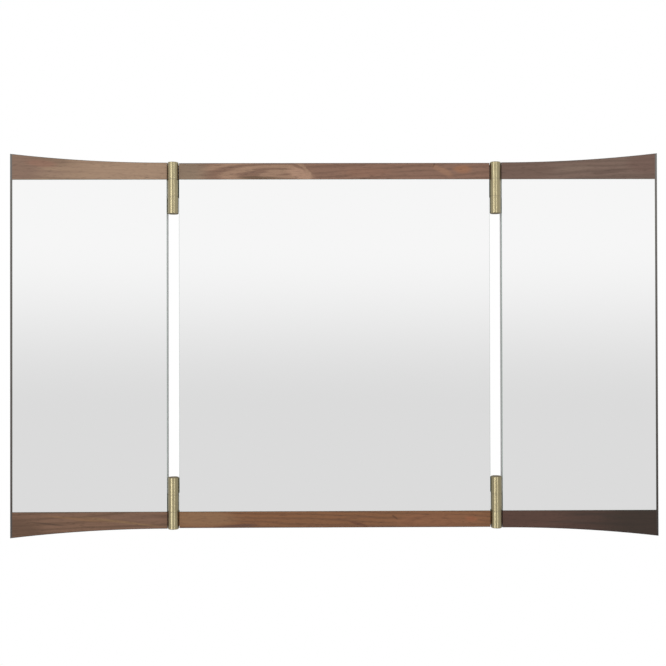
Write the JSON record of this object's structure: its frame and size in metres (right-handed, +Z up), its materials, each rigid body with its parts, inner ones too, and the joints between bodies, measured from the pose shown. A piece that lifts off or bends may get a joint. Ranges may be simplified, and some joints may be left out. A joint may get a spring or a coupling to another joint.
{
  "type": "folding wall mirror",
  "caption": "Folding three-panel wall mirror: wide centre panel and flared wings of mirror glass between walnut rails, on brass barrel hinges, hung from a bevelled wall cleat.",
  "frame": {"origin": "middle of the line of wall-screw holes, on the wall's plane at the back of the wall cleat", "axes": "+Y into the wall, so the glass faces -Y; +X along the width, to the right as seen from the front; +Z up"},
  "size_m": [1.18, 0.042, 0.6988],
  "materials": {
    "mirror_glass": "silvered float glass with ground edges",
    "walnut": "oiled solid walnut, fine grain along its length",
    "dark_stained_strip": "dark stained, matt",
    "grey_lacquered_board": "fibreboard, matt grey lacquer",
    "mirror_tape": "foam tape",
    "beech_dowel": "plain beech",
    "beech_cleat": "planed beech",
    "satin_brass": "satin, drawn lengthways",
    "washer_brass": "turned, dulled",
    "steel_pin": "ground",
    "brass_screw": "bright turned",
    "zinc_plated_screw": "zinc plated",
    "bumper_rubber": "moulded, matt"
  },
  "bodies": {
    "centre_panel": {"centre_backboard": "grey_lacquered_board", "centre_bottom_rail": "walnut", "centre_bumper_screws": "zinc_plated_screw", "centre_bumpers": "bumper_rubber", "centre_dowels": "beech_dowel", "centre_glass": "mirror_glass", "centre_glass_tape": "mirror_tape", "centre_leaf_screws": "brass_screw", "centre_top_rail": "walnut", "lower_left_centre_leaf": "satin_brass", "lower_left_end_plugs": "satin_brass", "lower_left_pin": "steel_pin", "lower_left_washers": "washer_brass", "lower_right_centre_leaf": "satin_brass", "lower_right_end_plugs": "satin_brass", "lower_right_pin": "steel_pin", "lower_right_washers": "washer_brass", "panel_cleat": "beech_cleat", "panel_cleat_screws": "zinc_plated_screw", "upper_left_centre_leaf": "satin_brass", "upper_right_centre_leaf": "satin_brass", "wall_cleat": "beech_cleat"},
    "left_wing": {"left_backboard": "grey_lacquered_board", "left_bottom_rail": "walnut", "left_bumper_screws": "zinc_plated_screw", "left_bumpers": "bumper_rubber", "left_dowels": "beech_dowel", "left_edge_strip": "dark_stained_strip", "left_glass": "mirror_glass", "left_glass_tape": "mirror_tape", "left_leaf_screws": "brass_screw", "left_top_rail": "walnut", "lower_left_wing_leaf": "satin_brass", "upper_left_end_plugs": "satin_brass", "upper_left_pin": "steel_pin", "upper_left_washers": "washer_brass", "upper_left_wing_leaf": "satin_brass"},
    "right_wing": {"lower_right_wing_leaf": "satin_brass", "right_backboard": "grey_lacquered_board", "right_bottom_rail": "walnut", "right_bumper_screws": "zinc_plated_screw", "right_bumpers": "bumper_rubber", "right_dowels": "beech_dowel", "right_edge_strip": "dark_stained_strip", "right_glass": "mirror_glass", "right_glass_tape": "mirror_tape", "right_leaf_screws": "brass_screw", "right_top_rail": "walnut", "upper_right_end_plugs": "satin_brass", "upper_right_pin": "steel_pin", "upper_right_washers": "washer_brass", "upper_right_wing_leaf": "satin_brass"}
  },
  "joints": [
    {"name": "left_wing_fold", "type": "hinge", "parent": "centre_panel", "child": "left_wing", "pos_m": [-0.294, -0.032, 0], "axis": [0, 0, 1], "range_deg": [0, 90]},
    {"name": "right_wing_fold", "type": "hinge", "parent": "centre_panel", "child": "right_wing", "pos_m": [0.294, -0.032, 0], "axis": [0, 0, -1], "range_deg": [0, 90]}
  ]
}
